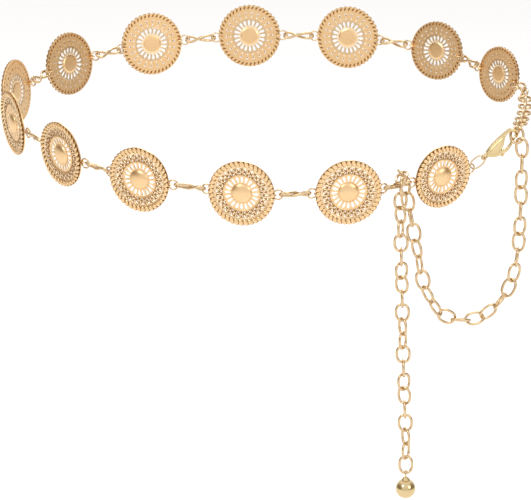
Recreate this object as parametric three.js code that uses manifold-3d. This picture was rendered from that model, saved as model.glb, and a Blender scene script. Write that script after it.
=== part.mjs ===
// Chain belt of openwork medallions, closed with a lobster clasp, its extension chain swagged and hanging.
// Millimetres and degrees. +Z is up, -Y is the wearer's front, the origin is the middle of the waist.

import * as THREE from "three";
import { mergeVertices } from "three/addons/utils/BufferGeometryUtils.js";
import Module from "manifold-3d";

const wasm = await Module();
wasm.setup();

// Medallion
const medallionRadius = 20.6;
const plateThickness = 1;
const rimInnerRadius = 17;
const rimHeight = 1.2;
const bossRadius = 6.2;
const bossHeight = 1.9;
const slotCount = 20;
const slotInnerRadius = 6.4;
const slotOuterRadius = 10.4;
const slotOuterHalf = 1.3;
const topsLeanOut = 6;

// Jump rings, which lie flat behind the rims
const ringRadius = 3;
const ringWire = 1;
const ringSeat = 19.1;
const ringDepth = -1.65;
const ringSteps = 6;
const wireGap = 0.45;

// Eyelet behind the rim, which holds a jump ring
const eyeletInside = 1.2;
const eyeletBar = 0.7;
const eyeletWidth = 1.2;

// Twisted link between two medallions
const linkSpan = 24.46;
const twistWire = 1.55;
const twistHalfWidth = 2.5;
const twistWaist = 0.95;
const twistTurn = -50;
const twistSlack = 0.65;

// Extension chain of oval links
const chainWire = 1.4;
const chainWidth = 9.2;
const cornerReach = 0.38;
const swagForward = 0.3;
const tailBack = 0.9;
const tailRise = 0.7;
const squareTurn = 90;
const stretchStartTurn = 120;
const stretchStartLinks = 3;
const slackTurn = 60;
const swagFirstTurn = 30;
const swagTopLinks = 5;
const swagTopTurn = 73;
const tailTopTurn = 67.5;
const fusedBite = 0.25;
const chainGap = 0.6;

// Ball pendant
const ballRadius = 6.15;
const capRadius = 2.3;
const capHeight = 1.3;
const pendantRing = 2.3;

// Lobster clasp
const claspThickness = 2.4;
const leverThickness = 1.8;
const claspNose = 22.6;
const noseGap = 1.7;
const strandLift = 0.4;
const eyeRadius = 2.25;
const eyeWire = 1.5;
const longRingWidth = 7.2;
const longRingTurn = 125;
const longRingSlack = 0.6;
const eyeTurn = 35;

// Belt, from the clasp round the front, the wearer's right side and the back: each medallion's heading along
// the belt, its slope, its size against the largest, and the heading of the twisted link that follows it.
const beltStart = new THREE.Vector3(113.6, -106.6, -16.1);
const belt = [
  { name: "front_5", heading: 212, slope: -4, size: 0.97, link: 213 },
  { name: "front_4", heading: 190.5, slope: -1, size: 1, link: 192.5 },
  { name: "front_3", heading: 168, slope: 2, size: 1, link: 164.5 },
  { name: "front_2", heading: 152.5, slope: 4, size: 1, link: 138 },
  { name: "front_1", heading: 129, slope: 6, size: 1, link: 119 },
  { name: "side_front", heading: 113, slope: 5.5, size: 1, link: 92 },
  { name: "side_back", heading: 69, slope: 5, size: 1, link: 65.5 },
  { name: "back_1", heading: 47, slope: 5, size: 1, link: 38 },
  { name: "back_2", heading: 16, slope: 4.7, size: 1, link: 4 },
  { name: "back_3", heading: 0, slope: 2.2, size: 1, link: -8.5 },
  { name: "back_4", heading: -10, slope: -1.5, size: 1, link: -29 },
  { name: "back_5", heading: -33, slope: -4.5, size: 0.94, link: -64 },
  { name: "back_6", heading: -50, slope: -6, size: 0.88, link: -74 },
];

const gold = { color: 0xf0c78c, roughness: 0.28, metalness: 1 };
const paleGold = { color: 0xe8cf95, roughness: 0.22, metalness: 1 };

// Helpers

function vector(x, y, z) {
  return new THREE.Vector3(x, y, z);
}

function radians(degrees) {
  return THREE.MathUtils.degToRad(degrees);
}

function frameAt(origin, x, y, z) {
  return new THREE.Matrix4().makeBasis(x, y, z).setPosition(origin);
}

function solidOf(geometry) {
  const bare = geometry.index ? geometry.toNonIndexed() : geometry.clone();
  const points = new THREE.BufferGeometry();
  points.setAttribute("position", bare.getAttribute("position"));
  const merged = mergeVertices(points, 1e-4);
  const triVerts = new Uint32Array(merged.index.array);
  const vertProperties = new Float32Array(merged.attributes.position.array);
  const made = new wasm.Manifold(new wasm.Mesh({ numProp: 3, vertProperties, triVerts }));
  if (made.volume() > 0) return made;
  for (let i = 0; i < triVerts.length; i += 3) {
    [triVerts[i + 1], triVerts[i + 2]] = [triVerts[i + 2], triVerts[i + 1]];
  }
  return new wasm.Manifold(new wasm.Mesh({ numProp: 3, vertProperties, triVerts }));
}

function placed(solid, matrix) {
  return solid.transform(matrix.toArray());
}

function joined(solids) {
  return wasm.Manifold.union(solids);
}

// A turned shape about Z from its profile of [radius, height] pairs.
function turned(profile, segments) {
  const points = profile.map(([r, z]) => new THREE.Vector2(r, z));
  const lathe = new THREE.LatheGeometry(points, segments);
  lathe.rotateX(Math.PI / 2);
  return solidOf(lathe);
}

// A flat outline of [x, y] pairs made thick, from z = low to z = high.
function plate(outlines, low, high) {
  const shapes = outlines.map((outline) => {
    return new THREE.Shape(outline.map(([x, y]) => new THREE.Vector2(x, y)));
  });
  const geometry = new THREE.ExtrudeGeometry(shapes, { depth: high - low, bevelEnabled: false, steps: 1 });
  geometry.translate(0, 0, low);
  return solidOf(geometry);
}

// A closed loop of round wire through the points.
function wireLoop(points, wire, sides) {
  const count = points.length;
  const tangents = points.map((p, i) => {
    const before = points[(i + count - 1) % count];
    const after = points[(i + 1) % count];
    return after.clone().sub(p).normalize().add(p.clone().sub(before).normalize()).normalize();
  });
  const start = Math.abs(tangents[0].z) < 0.9 ? vector(0, 0, 1) : vector(1, 0, 0);
  const normals = [start.addScaledVector(tangents[0], -start.dot(tangents[0])).normalize()];
  for (let i = 1; i <= count; i++) {
    const turn = new THREE.Quaternion().setFromUnitVectors(tangents[i - 1], tangents[i % count]);
    normals.push(normals[i - 1].clone().applyQuaternion(turn));
  }
  const last = normals.pop();
  const across = tangents[0].clone().cross(normals[0]);
  const slip = Math.atan2(last.dot(across), last.dot(normals[0]));
  const position = [];
  points.forEach((p, i) => {
    const normal = normals[i].clone().applyAxisAngle(tangents[i], (-slip * i) / count);
    const side = tangents[i].clone().cross(normal);
    for (let j = 0; j < sides; j++) {
      const angle = (2 * Math.PI * j) / sides;
      const at = p.clone().addScaledVector(normal, (Math.cos(angle) * wire) / 2);
      at.addScaledVector(side, (Math.sin(angle) * wire) / 2);
      position.push(at.x, at.y, at.z);
    }
  });
  const index = [];
  for (let i = 0; i < count; i++) {
    for (let j = 0; j < sides; j++) {
      const a = i * sides + j;
      const b = i * sides + ((j + 1) % sides);
      const c = ((i + 1) % count) * sides + j;
      const d = ((i + 1) % count) * sides + ((j + 1) % sides);
      index.push(a, b, d, a, d, c);
    }
  }
  const geometry = new THREE.BufferGeometry();
  geometry.setAttribute("position", new THREE.Float32BufferAttribute(position, 3));
  geometry.setIndex(index);
  return solidOf(geometry);
}

// The middle line of an oval loop, long along X, in the XY plane.
function ovalLine(length, width, steps, square) {
  const line = [];
  for (let i = 0; i < steps; i++) {
    const angle = (2 * Math.PI * i) / steps;
    const reach = 1 + square * Math.sin(2 * angle) ** 2;
    line.push(vector((Math.cos(angle) * length * reach) / 2, (Math.sin(angle) * width * reach) / 2, 0));
  }
  return line;
}

const root = new THREE.Group();

function addPiece(name, solid, finish) {
  const mesh = solid.getMesh();
  const geometry = new THREE.BufferGeometry();
  geometry.setAttribute("position", new THREE.BufferAttribute(new Float32Array(mesh.vertProperties), 3));
  geometry.setIndex(new THREE.BufferAttribute(new Uint32Array(mesh.triVerts), 1));
  geometry.computeVertexNormals();
  const piece = new THREE.Mesh(geometry, new THREE.MeshStandardMaterial(finish));
  piece.name = name;
  root.add(piece);
}

// Medallions

// One medallion about its own middle: X along the belt towards the clasp, Y up, Z outwards.
function medallionSolid(size) {
  const radius = medallionRadius * size;
  const rimInner = rimInnerRadius * size;
  const back = -plateThickness / 2;
  const front = plateThickness / 2;
  const rimTop = front + rimHeight;
  const body = turned(
    [
      [0, back],
      [radius, back],
      [radius - 0.5, rimTop - 0.2],
      [rimInner + 0.9, rimTop],
      [rimInner, front],
      [0, front],
    ],
    24,
  );
  const boss = turned(
    [
      [0, 0],
      [(bossRadius + 0.7) * size, 0],
      [bossRadius * size * 0.68, front + bossHeight * 0.72],
      [0, front + bossHeight],
    ],
    12,
  );
  const slots = [];
  for (let i = 0; i < slotCount; i++) {
    const angle = (2 * Math.PI * (i + 0.5)) / slotCount;
    const corner = (r, half) => [
      size * (r * Math.cos(angle) - half * Math.sin(angle)),
      size * (r * Math.sin(angle) + half * Math.cos(angle)),
    ];
    slots.push([
      corner(slotInnerRadius, 0),
      corner(slotOuterRadius, -slotOuterHalf),
      corner(slotOuterRadius, slotOuterHalf),
    ]);
  }
  const eyelets = [1, -1].map((side) => {
    const seat = radius - medallionRadius + ringSeat;
    const low = ringDepth - eyeletInside;
    const outline = [
      [seat - eyeletInside - eyeletBar, back + 0.2],
      [seat - eyeletInside - eyeletBar, low - eyeletBar],
      [seat + eyeletInside + eyeletBar, low - eyeletBar],
      [seat + eyeletInside + eyeletBar, back + 0.2],
      [seat + eyeletInside, back + 0.2],
      [seat + eyeletInside, low],
      [seat - eyeletInside, low],
      [seat - eyeletInside, back + 0.2],
    ];
    const flat = outline.map(([x, z]) => [side * x, z]);
    const stand = new THREE.Matrix4().makeRotationX(Math.PI / 2);
    return placed(plate([flat], -eyeletWidth / 2, eyeletWidth / 2), stand);
  });
  return joined([body, boss]).subtract(plate(slots, back - 1, front + 1)).add(joined(eyelets));
}

// Where each medallion sits: its middle and its own axes.
function beltFrames() {
  const alongOf = (heading, slope) => {
    const flat = Math.cos(radians(slope));
    return vector(
      Math.cos(radians(heading)) * flat,
      Math.sin(radians(heading)) * flat,
      Math.sin(radians(slope)),
    );
  };
  const middle = beltStart.clone();
  return belt.map((row, i) => {
    const along = alongOf(row.heading, row.slope);
    const radius = medallionRadius * row.size;
    const level = vector(-Math.sin(radians(row.heading)), Math.cos(radians(row.heading)), 0);
    const upright = along.clone().cross(level);
    const lean = radians(topsLeanOut);
    const outward = level.clone().multiplyScalar(Math.cos(lean)).addScaledVector(upright, -Math.sin(lean));
    const up = upright.multiplyScalar(Math.cos(lean)).addScaledVector(level, Math.sin(lean));
    const frame = { row, radius, up, outward, matrix: frameAt(middle, along.clone().negate(), up, outward) };
    const next = belt[i + 1];
    if (next) {
      const linkAlong = alongOf(row.link, (row.slope + next.slope) / 2);
      middle.addScaledVector(along, radius).addScaledVector(linkAlong, linkSpan);
      middle.addScaledVector(alongOf(next.heading, next.slope), medallionRadius * next.size);
    }
    return frame;
  });
}

const frames = beltFrames();
frames.forEach((frame) => {
  addPiece("medallion_" + frame.row.name, placed(medallionSolid(frame.row.size), frame.matrix), gold);
});

// Jump rings and twisted links

// Where a ring's wire sits in a medallion's eyelet: side 1 is towards the clasp, side -1 on along the belt.
function eyeletSeat(frame, side) {
  const reach = frame.radius - medallionRadius + ringSeat;
  return vector(side * reach, 0, ringDepth).applyMatrix4(frame.matrix);
}

function acrossFrom(direction, reference) {
  return reference.clone().addScaledVector(direction, -reference.dot(direction)).normalize();
}

// A jump ring that leaves its seat in the given direction, and the place where its far wire ends up.
function jumpRing(seat, direction, up) {
  const middle = seat.clone().addScaledVector(direction, ringRadius);
  const matrix = frameAt(middle, direction, up, direction.clone().cross(up));
  const line = ovalLine(2 * ringRadius, 2 * ringRadius, ringSteps, 0);
  const solid = placed(wireLoop(line, ringWire, 4), matrix);
  return { solid, farWire: seat.clone().addScaledVector(direction, 2 * ringRadius) };
}

// A link of two strands that cross at its waist, from a half turn in its middle.
function twistedLink(start, end, up) {
  const along = end.clone().sub(start);
  const half = along.length() / 2 + (ringWire + twistWire) / 2 + twistSlack;
  along.normalize();
  const across = along.clone().cross(up);
  const middle = start.clone().add(end).multiplyScalar(0.5);
  const strand = [
    { along: 0.88, width: 0.9, turn: 0 },
    { along: 0.6, width: 1, turn: 0 },
    { along: 0, width: twistWaist / twistHalfWidth, turn: 90 },
    { along: -0.6, width: 1, turn: 180 },
    { along: -0.88, width: 0.9, turn: 180 },
  ];
  const pointAt = (row, back) => {
    const angle = radians(row.turn + twistTurn + back);
    const point = middle.clone().addScaledVector(along, row.along * half);
    point.addScaledVector(up, Math.cos(angle) * row.width * twistHalfWidth);
    return point.addScaledVector(across, Math.sin(angle) * row.width * twistHalfWidth);
  };
  const line = [middle.clone().addScaledVector(along, half)];
  strand.forEach((row) => line.push(pointAt(row, 0)));
  line.push(middle.clone().addScaledVector(along, -half));
  strand.toReversed().forEach((row) => line.push(pointAt(row, 180)));
  return wireLoop(line, twistWire, 4);
}

for (let i = 0; i + 1 < frames.length; i++) {
  const from = eyeletSeat(frames[i], -1);
  const to = eyeletSeat(frames[i + 1], 1);
  const along = to.clone().sub(from).normalize();
  const up = acrossFrom(along, frames[i].up.clone().add(frames[i + 1].up));
  const first = jumpRing(from, along, up);
  const second = jumpRing(to, along.clone().negate(), up);
  addPiece("jump_ring_after_" + belt[i].name, first.solid, gold);
  addPiece("twisted_link_after_" + belt[i].name, twistedLink(first.farWire, second.farWire, up), gold);
  addPiece("jump_ring_before_" + belt[i + 1].name, second.solid, gold);
}

// Extension chain

// The places where a chain's links meet: equal steps from the first end of the curve to the last.
function evenJoints(curve, links) {
  const samples = curve.getSpacedPoints(900);
  const walk = (step) => {
    const joints = [samples[0].clone()];
    for (const sample of samples) {
      if (joints.length <= links && sample.distanceTo(joints[joints.length - 1]) >= step) {
        joints.push(sample.clone());
      }
    }
    return joints;
  };
  let low = 0.5 * (curve.getLength() / links);
  let high = 1.1 * (curve.getLength() / links);
  for (let i = 0; i < 40; i++) {
    const step = (low + high) / 2;
    if (walk(step).length > links) low = step;
    else high = step;
  }
  const joints = walk(low);
  joints[links] = samples[samples.length - 1].clone();
  return joints;
}

// The links between the joints, each an oval of wire in its own frame, turned on from the one before.
// The links of one piece touch at their joints, and at a loose joint two pieces meet. The first link's plane
// faces the way given.
function chainLinks(joints, face, firstTurn, turnAt, loose) {
  const links = [];
  const directions = joints.slice(1).map((joint, i) => joint.clone().sub(joints[i]).normalize());
  const reachAt = (i) => {
    const touching = (chainWire - fusedBite) / 2;
    const apart = (chainWire + chainGap) / 2;
    const before = directions[Math.max(i - 1, 0)];
    const after = directions[Math.min(i, directions.length - 1)];
    const bend = Math.max(Math.cos(before.angleTo(after) / 2), 0.6);
    return (loose.includes(i) ? apart : touching) / bend;
  };
  let facing = face.clone();
  let turn = firstTurn;
  directions.forEach((direction, i) => {
    if (i > 0) {
      facing.applyQuaternion(new THREE.Quaternion().setFromUnitVectors(directions[i - 1], direction));
      turn += turnAt(i);
    }
    facing = acrossFrom(direction, facing);
    const wide = facing.clone().cross(direction).applyAxisAngle(direction, radians(turn));
    const start = joints[i].clone().addScaledVector(direction, -reachAt(i));
    const end = joints[i + 1].clone().addScaledVector(direction, reachAt(i + 1));
    const length = end.distanceTo(start);
    const line = ovalLine(length, chainWidth - chainWire, 8, 0.08);
    const middle = start.clone().add(end).multiplyScalar(0.5);
    const matrix = frameAt(middle, direction, wide, direction.clone().cross(wide));
    const solid = placed(wireLoop(line, chainWire, 4), matrix);
    links.push({ solid, middle, wide, end, direction, length });
  });
  return links;
}

function chainPiece(name, links) {
  addPiece(name, joined(links.map((link) => link.solid)), gold);
}

function curveThrough(points) {
  return new THREE.CatmullRomCurve3(points, false, "centripetal");
}

// Half the space between the middles of two wires that hold each other a little apart.
function looseReach(wireA, wireB) {
  return (wireA + wireB) / 2 + wireGap;
}

// The stretch from the last medallion to the clasp
const lastFrame = frames[frames.length - 1];
const lastLink = belt[belt.length - 1].link;
const endDirection = vector(Math.cos(radians(lastLink)), Math.sin(radians(lastLink)), 0);
const endRing = jumpRing(eyeletSeat(lastFrame, -1), endDirection, acrossFrom(endDirection, lastFrame.up));
addPiece("end_ring_at_chain", endRing.solid, gold);

const looseEnd = (chainWire + chainGap) / 2;
const firstReach = looseReach(ringWire, chainWire) - looseEnd;
const stretchPath = curveThrough([
  endRing.farWire.clone().add(vector(0, firstReach, 0)),
  vector(170.5, 16, 6),
  vector(169, -16, 5.5),
  vector(164.8, -52, 6.6),
  vector(162.8, -70, 8.2),
  vector(159.8, -84.5, 8.4),
  vector(159.4, -91.3, 1.9),
]);
const stretchLinks = 14;
const stretch = chainLinks(
  evenJoints(stretchPath, stretchLinks),
  vector(0, 0, 1),
  0,
  (i) => (i <= stretchStartLinks ? stretchStartTurn : squareTurn),
  [0, stretchLinks],
);
chainPiece("chain_clasp_stretch", stretch);

const hookedLink = stretch[stretch.length - 1];
const towardClasp = hookedLink.wide.clone().multiplyScalar(hookedLink.wide.x > 0 ? -1 : 1);
const chainHalf = (chainWidth - chainWire) / 2;

// The swag, from the caught link's outer corner down, up again behind the belt and over the twisted link
const corner = hookedLink.middle.clone();
corner.addScaledVector(hookedLink.direction, cornerReach * hookedLink.length);
corner.addScaledVector(towardClasp, -2 * cornerReach * chainHalf);
const swagPath = curveThrough([
  corner.clone().add(vector(0, -swagForward, looseReach(chainWire, chainWire) - looseEnd)),
  vector(162.8, -91, -10),
  vector(162.6, -90, -24),
  vector(162.5, -89, -43),
  vector(161.5, -88, -65.5),
  vector(157, -87, -90.5),
  vector(144.5, -90, -106),
  vector(128.5, -97, -110),
  vector(113, -104, -103),
  vector(103.5, -107, -86),
  vector(99, -108, -64.5),
  vector(95, -108, -43.5),
  vector(92.5, -107.5, -31),
  vector(90.8, -107.5, -20),
  vector(89.3, -111, -12.9),
  vector(88.4, -118, -11.7),
  vector(88, -126.5, -14),
]);
const swagLinks = 26;
const swagSplit = 13;
const swag = chainLinks(
  evenJoints(swagPath, swagLinks),
  vector(0, -1, 0),
  swagFirstTurn,
  (i) => (i >= swagLinks - swagTopLinks ? swagTopTurn : slackTurn),
  [0, swagSplit, swagLinks],
);
chainPiece("chain_swag_right", swag.slice(0, swagSplit));
chainPiece("chain_swag_left", swag.slice(swagSplit));

// The tail, which hangs in front of the belt
const overLink = swag[swag.length - 1];
const overReach = looseReach(chainWire, chainWire);
const tailStart = overLink.end.clone();
tailStart.add(vector(0, overReach - chainHalf + tailBack, overReach - looseEnd + tailRise));
const tailPath = curveThrough([
  tailStart,
  vector(87.4, -129, -27),
  vector(88, -128, -52),
  vector(89, -127, -87),
  vector(90, -127, -125),
  vector(91, -127, -152),
  vector(92, -127, -176),
  vector(92.2, -127, -197.6),
]);
const tailLinks = 21;
const tailTopLinks = 4;
const tailTurnAt = (i) => {
  if (i <= tailTopLinks) return tailTopTurn;
  return (i - tailTopLinks - 1) % 4 === 0 ? squareTurn : slackTurn;
};
const tail = chainLinks(
  evenJoints(tailPath, tailLinks),
  vector(1, 0, 0),
  0,
  tailTurnAt,
  [0, tailLinks],
);
chainPiece("chain_tail", tail);

// Ball pendant

// The pendant about the middle of its ball: the ball, a cap and a ring above it, its plane across X.
function pendantSolid() {
  const profile = [[0, -ballRadius]];
  for (let i = 1; i <= 6; i++) {
    const angle = radians(-90 + (155 * i) / 6);
    profile.push([ballRadius * Math.cos(angle), ballRadius * Math.sin(angle)]);
  }
  profile.push([capRadius, ballRadius + 0.1]);
  profile.push([capRadius * 0.8, ballRadius + capHeight]);
  profile.push([0, ballRadius + capHeight]);
  const ringLine = ovalLine(2 * pendantRing, 2 * pendantRing, 8, 0);
  const upright = new THREE.Matrix4().makeRotationY(Math.PI / 2);
  upright.setPosition(0, 0, ballRadius + capHeight + pendantRing - 0.2);
  return joined([turned(profile, 12), placed(wireLoop(ringLine, ringWire, 4), upright)]);
}

const lastTail = tail[tail.length - 1];
const pendantTop = lastTail.end.clone().add(vector(0, 0, looseReach(ringWire, chainWire)));
const pendantMiddle = pendantTop.clone().add(vector(0, 0, 0.2 - 2 * pendantRing - ballRadius - capHeight));
const pendantAcross = acrossFrom(vector(0, 0, 1), lastTail.wide);
const pendantFrame = frameAt(
  pendantMiddle,
  pendantAcross,
  vector(0, 0, 1).cross(pendantAcross),
  vector(0, 0, 1),
);
addPiece("ball_pendant", placed(pendantSolid(), pendantFrame), paleGold);

// Lobster clasp, about the middle of its eye: X towards its nose, Y on the lever's side, Z the way it faces.
const claspBody = [
  [1.6, -1.4],
  [3.6, -3.4],
  [6.4, -5.1],
  [9.4, -5.6],
  [9.8, -4.0],
  [10.6, -2.7],
  [12.8, -1.7],
  [15, 0.3],
  [17, 2.3],
  [19.4, 3.0],
  [21.8, 2.7],
  [22.9, 1.0],
  [22.9, -0.8],
  [22, -1.9],
  [22.2, -3.2],
  [23.9, -2.6],
  [25.1, -0.8],
  [25.2, 1.4],
  [24.1, 3.6],
  [21.6, 4.6],
  [17, 4.7],
  [11, 4.2],
  [6, 3.3],
  [3.4, 2.4],
  [1.6, 1.4],
];
const claspLever = [
  [10.2, -3.9],
  [10.9, -3.1],
  [11.8, -3.7],
  [12.6, -4.7],
  [15, -4.5],
  [18, -3.3],
  [20.7, -1.7],
  [21.6, -2.2],
  [21.6, -3.0],
  [19.6, -3.8],
  [17, -5.3],
  [13.4, -6.4],
  [11, -6.5],
  [9.6, -7.3],
  [8.3, -7.4],
  [8.4, -6.2],
  [9.9, -6.0],
];

const claspSeat = eyeletSeat(frames[0], 1);
const hookedStrand = hookedLink.middle.clone().addScaledVector(towardClasp, chainHalf);
const beltEnd = new THREE.Vector3().setFromMatrixColumn(frames[0].matrix, 0);
const seatLine = hookedStrand.clone().sub(claspSeat).normalize().addScaledVector(beltEnd, 6).normalize();
const seatRing = jumpRing(claspSeat, seatLine, acrossFrom(seatLine, frames[0].up));
const ringMiddle = claspSeat.clone().addScaledVector(seatLine, ringRadius);
const ringAxis = seatLine.clone().cross(acrossFrom(seatLine, frames[0].up));
const pull = acrossFrom(ringAxis, hookedStrand.clone().sub(ringMiddle));
const ringHold = ringMiddle.clone().addScaledVector(pull, ringRadius);
const claspLine = hookedStrand.clone().sub(ringHold).normalize();
addPiece("end_ring_at_clasp", seatRing.solid, gold);

const claspFace = acrossFrom(claspLine, vector(0, -1, 0).add(hookedLink.direction));
const claspSide = claspFace.clone().cross(claspLine);
const nose = hookedStrand.clone().addScaledVector(claspLine, chainWire / 2 + noseGap);
const eye = nose.clone().addScaledVector(claspLine, -claspNose).addScaledVector(claspSide, -strandLift);
const claspFrame = frameAt(eye, claspLine, claspSide, claspFace);
const eyeLoop = ovalLine(2 * eyeRadius, 2 * eyeRadius, 8, 0);
const eyePlace = new THREE.Matrix4().makeRotationX(radians(eyeTurn));
const claspSolid = joined([
  plate([claspBody], -claspThickness / 2, claspThickness / 2),
  placed(wireLoop(eyeLoop, eyeWire, 4), eyePlace),
]);
addPiece("clasp_body", placed(claspSolid, claspFrame), paleGold);
const leverSolid = plate([claspLever], -leverThickness / 2, leverThickness / 2);
addPiece("clasp_lever", placed(leverSolid, claspFrame), paleGold);

// The long ring that joins the clasp's eye to the end ring
const longReach = looseReach(ringWire, ringWire) + longRingSlack;
const longStart = ringHold.clone().addScaledVector(claspLine, -longReach);
const longEnd = eye.clone().addScaledVector(claspLine, looseReach(ringWire, eyeWire) - eyeRadius);
const longWide = claspSide.clone().applyAxisAngle(claspLine, radians(longRingTurn));
const longFrame = frameAt(
  longStart.clone().add(longEnd).multiplyScalar(0.5),
  claspLine,
  longWide,
  claspLine.clone().cross(longWide),
);
const longLine = ovalLine(longEnd.distanceTo(longStart), longRingWidth - ringWire, 8, 0.08);
addPiece("clasp_ring", placed(wireLoop(longLine, ringWire, 4), longFrame), gold);

export default root;
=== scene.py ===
from math import atan2, cos, hypot, pi, radians, sin

import bmesh
import bpy
from mathutils import Matrix, Quaternion, Vector


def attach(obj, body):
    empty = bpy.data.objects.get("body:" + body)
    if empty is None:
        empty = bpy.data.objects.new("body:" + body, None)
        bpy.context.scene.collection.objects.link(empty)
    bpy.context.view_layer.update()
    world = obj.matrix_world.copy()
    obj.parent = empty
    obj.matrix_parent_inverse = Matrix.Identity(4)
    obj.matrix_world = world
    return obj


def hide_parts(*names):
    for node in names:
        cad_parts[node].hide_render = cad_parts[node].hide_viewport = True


# Chain belt of pierced gold medallions, closed by a clasp, with its spare chain hanging in a swag and a tail.
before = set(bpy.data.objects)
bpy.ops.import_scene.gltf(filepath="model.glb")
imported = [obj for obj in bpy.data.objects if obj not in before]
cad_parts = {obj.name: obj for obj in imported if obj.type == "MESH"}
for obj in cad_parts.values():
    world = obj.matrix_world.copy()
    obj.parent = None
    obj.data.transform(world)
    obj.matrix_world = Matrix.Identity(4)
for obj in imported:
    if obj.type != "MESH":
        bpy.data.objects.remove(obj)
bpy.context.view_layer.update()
mm = 0.001  # shapes are worked out in millimetres and brought to metres as each piece is finished
print("frame loaded:", len(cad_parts), "nodes")


# Camera, as the photograph was taken: in millimetres and degrees, but farthest in metres
photoView = {
    "target": (6.0, -108.0, -62.0),
    "elevation": 15,
    "distance": 2500,
    "pixelsPerMm": 1.638,
    "imageWidth": 531,
    "sensorWidth": 36,
    "farthest": 30,
}


def addCamera(view):
    data = bpy.data.cameras.new("photoCamera")
    data.sensor_width = view["sensorWidth"]
    data.lens = data.sensor_width * view["distance"] * view["pixelsPerMm"] / view["imageWidth"]
    data.clip_end = view["farthest"]
    camera = bpy.data.objects.new("photoCamera", data)
    tilt = radians(view["elevation"])
    away = Vector((0, -cos(tilt), sin(tilt))) * view["distance"]
    camera.location = (Vector(view["target"]) + away) * mm
    camera.rotation_euler = (pi / 2 - tilt, 0, 0)
    bpy.context.scene.collection.objects.link(camera)
    bpy.context.scene.camera = camera


# Pale floor and pale room. The room is brightest from topAt upwards, and darker where it lies aside
studio = {
    "floorHeight": -520,
    "floorSize": 9000,
    "floorColour": "#FFFFFF",
    "floorRoughness": 0.9,
    "roomHorizon": "#EFECE8",
    "roomTop": "#FFFFFF",
    "topAt": 0.55,
    "roomSides": "#9C8F80",
    "sidesSpan": (0.5, 0.95),
    "roomStrength": 1.05,
}

# Each light: where it stands, its size and its power in watts
softLights = {
    "keyLight": {"at": (-1300, -1500, 1500), "size": 900, "power": 11},
    "fillLight": {"at": (1500, -1300, 700), "size": 1100, "power": 6},
    "backLight": {"at": (300, 1500, 1500), "size": 900, "power": 14},
}


# A hex colour as the linear values that nodes take
def linearOf(hexColour):
    parts = [int(hexColour[i:i + 2], 16) / 255 for i in (1, 3, 5)]
    linear = [p / 12.92 if p <= 0.04045 else ((p + 0.055) / 1.055) ** 2.4 for p in parts]
    return (*linear, 1)


# Adds a node; an input is a value, or the socket that it is linked from
def addNode(tree, kind, settings=None, inputs=None):
    node = tree.nodes.new(kind)
    for key, value in (settings or {}).items():
        setattr(node, key, value)
    for key, value in (inputs or {}).items():
        if isinstance(value, bpy.types.NodeSocket):
            tree.links.new(value, node.inputs[key])
        else:
            node.inputs[key].default_value = value
    return node


# Two colours mixed; 6, 7 and 2 are the node's sockets for colours
def mixedColour(tree, share, first, second):
    sockets = {"Factor": share, 6: first, 7: second}
    return addNode(tree, "ShaderNodeMix", {"data_type": "RGBA"}, sockets).outputs[2]


# How far a value has come through a span, from 0 to 1 and soft at both ends
def softShare(tree, value, span):
    sockets = {"Value": value, "From Min": span[0], "From Max": span[1]}
    node = addNode(tree, "ShaderNodeMapRange", {"interpolation_type": "SMOOTHSTEP"}, sockets)
    return node.outputs["Result"]


# White paper floor, far below the hanging chain
def addFloor():
    half = studio["floorSize"] * mm / 2
    bm = bmesh.new()
    bmesh.ops.create_grid(bm, x_segments=1, y_segments=1, size=half)
    bmesh.ops.translate(bm, vec=(0, 0, studio["floorHeight"] * mm), verts=bm.verts)
    mesh = bpy.data.meshes.new("floor")
    bm.to_mesh(mesh)
    bm.free()
    floor = bpy.data.objects.new("floor", mesh)
    bpy.context.scene.collection.objects.link(floor)

    paper = bpy.data.materials.new("palePaperFloor")
    paper.use_nodes = True
    shader = paper.node_tree.nodes["Principled BSDF"]
    shader.inputs["Base Color"].default_value = linearOf(studio["floorColour"])
    shader.inputs["Roughness"].default_value = studio["floorRoughness"]
    mesh.materials.append(paper)


def addRoom():
    world = bpy.data.worlds.new("paleRoom")
    bpy.context.scene.world = world
    world.use_nodes = True
    tree = world.node_tree
    tree.nodes.clear()
    way = addNode(tree, "ShaderNodeTexCoord").outputs["Generated"]
    parts = addNode(tree, "ShaderNodeSeparateXYZ", inputs={"Vector": way}).outputs
    ramp = addNode(tree, "ShaderNodeValToRGB", inputs={"Fac": parts["Z"]})
    horizon, top = ramp.color_ramp.elements
    horizon.position = 0
    horizon.color = linearOf(studio["roomHorizon"])
    top.position = studio["topAt"]
    top.color = linearOf(studio["roomTop"])
    aside = addNode(tree, "ShaderNodeMath", {"operation": "ABSOLUTE"}, {0: parts["X"]}).outputs["Value"]
    sides = softShare(tree, aside, studio["sidesSpan"])
    room = mixedColour(tree, sides, ramp.outputs["Color"], linearOf(studio["roomSides"]))
    light = addNode(tree, "ShaderNodeBackground", inputs={"Color": room, "Strength": studio["roomStrength"]})
    addNode(tree, "ShaderNodeOutputWorld", inputs={"Surface": light.outputs["Background"]})


def addLights():
    for name, light in softLights.items():
        data = bpy.data.lights.new(name, "AREA")
        data.shape = "DISK"
        data.size = light["size"] * mm
        data.energy = light["power"]
        lamp = bpy.data.objects.new(name, data)
        lamp.location = Vector(light["at"]) * mm
        lamp.rotation_euler = (-lamp.location).to_track_quat("-Z", "Y").to_euler()
        bpy.context.scene.collection.objects.link(lamp)


addCamera(photoView)
addFloor()
addRoom()
addLights()
bpy.context.scene.view_settings.view_transform = "Standard"
print("camera, floor and lights placed")


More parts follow.
